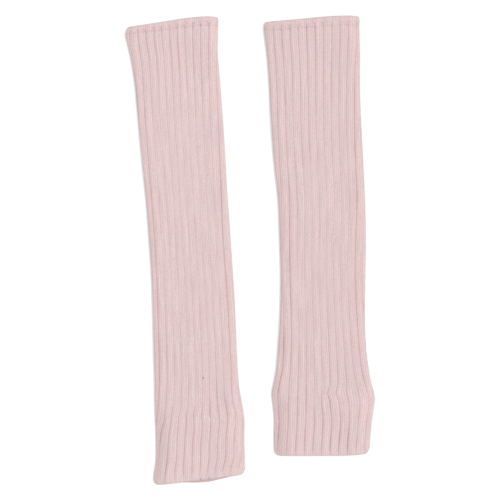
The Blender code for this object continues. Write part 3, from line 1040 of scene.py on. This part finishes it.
def speckled_fibre(tree, shader, fibre_colour, speck):
    """Gives a shader a strand's colour, lighter and darker by speck, and its fine hairs."""
    body = add_node(tree, "ShaderNodeTexCoord")["Object"]
    inputs = {0: fibre_colour, "Scale": specks(tree, body, speck)}
    fibre = add_node(tree, "ShaderNodeVectorMath", inputs, operation="SCALE")[0]
    tree.links.new(fibre, shader.inputs["Base Color"])
    inputs = {"Vector": body, "Scale": 1 / (STRAND_HAIR * MM)}
    hairs = add_node(tree, "ShaderNodeTexNoise", inputs)["Fac"]
    inputs = {"Height": hairs, "Distance": STRAND_RELIEF * MM, "Strength": BUMP_STRENGTH}
    tree.links.new(add_node(tree, "ShaderNodeBump", inputs)["Normal"], shader.inputs["Normal"])


def linking_yarn(name, look):
    """The acrylic yarn that the bands are linked down with: matt and uneven, as the knit is."""
    material = bpy.data.materials.new(name)
    material.use_nodes = True
    shader = material.node_tree.nodes["Principled BSDF"]
    shader.inputs["Roughness"].default_value = 0.9
    shader.inputs["Sheen Weight"].default_value = 0.25
    speckled_fibre(material.node_tree, shader, look.pink, look.speck)
    return material


def grey_lint_and_shade(name, look):
    """Grey fibres on the knit, as lint and as painted shade: dull and twice as uneven as the yarn.
    """
    material = bpy.data.materials.new(name)
    material.use_nodes = True
    shader = material.node_tree.nodes["Principled BSDF"]
    shader.inputs["Roughness"].default_value = 1.0
    shader.inputs["Specular IOR Level"].default_value = 0.1
    speckled_fibre(material.node_tree, shader, look.lint_and_shade_grey, 2 * look.speck)
    return material


def opal_acrylic(name, look):
    """Opal acrylic sheet, cast and lit from beneath: white with no shadow of its own."""
    material = bpy.data.materials.new(name)
    material.use_nodes = True
    shader = material.node_tree.nodes["Principled BSDF"]
    shader.inputs["Base Color"].default_value = (*look.table_white, 1)
    shader.inputs["Roughness"].default_value = 0.8
    shader.inputs["Specular IOR Level"].default_value = 0.2
    shader.inputs["Emission Color"].default_value = (1, 1, 1, 1)
    shader.inputs["Emission Strength"].default_value = look.table_glow
    return material


def light_table(look):
    """The lit sheet that the pair lies on, wide enough to fill the view."""
    bm = bmesh.new()
    bmesh.ops.create_grid(bm, x_segments=1, y_segments=1, size=TABLE_HALF_SIDE)
    bmesh.ops.translate(bm, verts=bm.verts, vec=(0.0, 0.0, -TABLE_GAP * MM))
    new_object("light_table", bm, opal_acrylic("opal_cast_acrylic", look))


def soft_box(name, stand, aim, size, power, tint):
    """A square soft light where it stands, turned to its aim, with its power in watts."""
    lamp = bpy.data.lights.new(name, "AREA")
    lamp.size = size
    lamp.energy = power
    lamp.color = tint
    box = bpy.data.objects.new(name, lamp)
    box.location = stand
    box.rotation_mode = "QUATERNION"
    box.rotation_quaternion = (Vector(stand) - Vector(aim)).to_track_quat("Z", "Y")
    bpy.context.scene.collection.objects.link(box)


def soft_light(look):
    """A large far light turned past the pair, a weak one on each side and white walls."""
    soft_box("key", KEY_PLACE, KEY_AIM, look.key_size, look.key_power, look.key_white)
    soft_box("fill", FILL_PLACE, PAIR_MIDDLE, look.side_size, look.fill_power, look.wall_white)
    soft_box("edge", EDGE_PLACE, PAIR_MIDDLE, look.side_size, look.edge_power, look.wall_white)
    world = bpy.data.worlds.new("surround")
    world.use_nodes = True
    background = world.node_tree.nodes["Background"]
    background.inputs["Color"].default_value = (*look.wall_white, 1)
    background.inputs["Strength"].default_value = look.surround
    bpy.context.scene.world = world
    bpy.context.scene.view_settings.view_transform = "Standard"


def overhead_camera(look):
    """The camera, straight above the pair, as far off as the view's width asks."""
    lens = bpy.data.cameras.new("overhead")
    lens.lens = look.lens
    lens.sensor_width = look.sensor
    lens.clip_start = NEAREST_SEEN
    far =look.view_width * lens.lens / lens.sensor_width
    camera = bpy.data.objects.new("overhead", lens)
    camera.location = (look.aim_x, look.aim_y, far + CLOTH_TOP * MM)
    bpy.context.scene.collection.objects.link(camera)
    bpy.context.scene.camera = camera


class LEGWARMERS_OT_top_bands(bpy.types.Operator):
    """Knit the turned band round the top of each leg warmer"""

    bl_idname = "legwarmers.top_bands"
    bl_label = "Top bands"

    def execute(self, context):
        look = context.scene.knit_look
        knit = acrylic_rib_knit("turned_acrylic_rib_knit", look)
        for warmer in PAIR:
            steps = wall_steps(0.0, warmer.band, DOUBLE_WALL, SEAM_ROW, OPEN_RIM, SEAM_ROUND)
            name = warmer.name + "_band_knit"
            piece = knit_wall(name, warmer, steps, BAND_RELIEF, look, knit)
            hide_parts(warmer.name + "_top_band")
        return {"FINISHED"}


class LEGWARMERS_OT_ankle_cuffs(bpy.types.Operator):
    """Knit the doubled cuff at the ankle of each leg warmer"""

    bl_idname = "legwarmers.ankle_cuffs"
    bl_label = "Ankle cuffs"

    def execute(self, context):
        look = context.scene.knit_look
        knit = acrylic_rib_knit("doubled_acrylic_rib_knit", look)
        for warmer in PAIR:
            start, end = warmer.cuff_from, warmer.courses[-1].down
            steps = wall_steps(start, end, DOUBLE_WALL, CUFF_ROW, SQUARE, OPEN_RIM)
            name = warmer.name + "_cuff_knit"
            piece = knit_wall(name, warmer, steps, FULL_RELIEF, look, knit)
            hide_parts(warmer.name + "_ankle_cuff")
            declare_sheet(warmer, start, end)
        return {"FINISHED"}


class LEGWARMERS_OT_legs(bpy.types.Operator):
    """Knit the long leg between the band and the cuff of each leg warmer"""

    bl_idname = "legwarmers.legs"
    bl_label = "Legs"

    def execute(self, context):
        look = context.scene.knit_look
        knit = acrylic_rib_knit("single_acrylic_rib_knit", look)
        for warmer in PAIR:
            start, end = warmer.band, warmer.cuff_from
            steps = wall_steps(start, end, LEG_WALL, LEG_ROW, SEAM_ROUND, SQUARE, SEAM_REACH)
            name = warmer.name + "_leg_knit"
            piece = knit_wall(name, warmer, steps, FULL_RELIEF, look, knit)
            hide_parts(warmer.name + "_leg")
            declare_sheet(warmer, start, end)
        return {"FINISHED"}


class LEGWARMERS_OT_linking(bpy.types.Operator):
    """Link each turned band down with a row of stitches"""

    bl_idname = "legwarmers.linking"
    bl_label = "Linking"

    def execute(self, context):
        look = context.scene.knit_look
        yarn = linking_yarn("linking_acrylic_yarn", look)
        for warmer in PAIR:
            link_stitches(warmer, look, yarn)
        return {"FINISHED"}


class LEGWARMERS_OT_flecks(bpy.types.Operator):
    """Lay the grey flecks on the knit: lint, and two dark ones at the left cuff's lip as painted
    shade
    """

    bl_idname = "legwarmers.flecks"
    bl_label = "Flecks"

    def execute(self, context):
        look = context.scene.knit_look
        bm = bmesh.new()
        for fleck in FLECKS:
            lint_and_shade_fleck(bm, fleck, look)
        put_in_order(bm)
        smooth_piece("lint_and_shade_flecks", bm, grey_lint_and_shade("grey_lint_and_shade", look))
        return {"FINISHED"}


class LEGWARMERS_OT_stage(bpy.types.Operator):
    """Lay out the light table, the soft light and the camera"""

    bl_idname = "legwarmers.stage"
    bl_label = "Stage"

    def execute(self, context):
        look = context.scene.stage_look
        light_table(look)
        soft_light(look)
        overhead_camera(look)
        return {"FINISHED"}


class LEGWARMERS_PT_panel(bpy.types.Panel):
    """Steps that build the leg warmers"""

    bl_idname = "LEGWARMERS_PT_panel"
    bl_label = "Leg warmers"
    bl_space_type = "VIEW_3D"
    bl_region_type = "UI"
    bl_category = "Leg warmers"

    def draw(self, context):
        column = self.layout.column()
        for group in (context.scene.knit_look, context.scene.stage_look):
            for name in group.__annotations__:
                column.prop(group, name)
        for operator in OPERATORS:
            column.operator(operator.bl_idname)


OPERATORS = (
    LEGWARMERS_OT_top_bands,
    LEGWARMERS_OT_ankle_cuffs,
    LEGWARMERS_OT_legs,
    LEGWARMERS_OT_linking,
    LEGWARMERS_OT_flecks,
    LEGWARMERS_OT_stage,
)
CLASSES = (KnitLook, StageLook, *OPERATORS, LEGWARMERS_PT_panel)


def register():
    """Adds the classes, and the settings that they hold, to Blender."""
    for cls in CLASSES:
        bpy.utils.register_class(cls)
    bpy.types.Scene.knit_look = PointerProperty(type=KnitLook)
    bpy.types.Scene.stage_look = PointerProperty(type=StageLook)


def unregister():
    """Takes them out again, in the other order."""
    del bpy.types.Scene.stage_look
    del bpy.types.Scene.knit_look
    for cls in reversed(CLASSES):
        bpy.utils.unregister_class(cls)


def main():
    """Builds the pair and its stage."""
    register()
    bpy.ops.legwarmers.top_bands()
    bpy.ops.legwarmers.ankle_cuffs()
    bpy.ops.legwarmers.legs()
    bpy.ops.legwarmers.linking()
    bpy.ops.legwarmers.flecks()
    bpy.ops.legwarmers.stage()


if __name__ == "__main__":
    main()
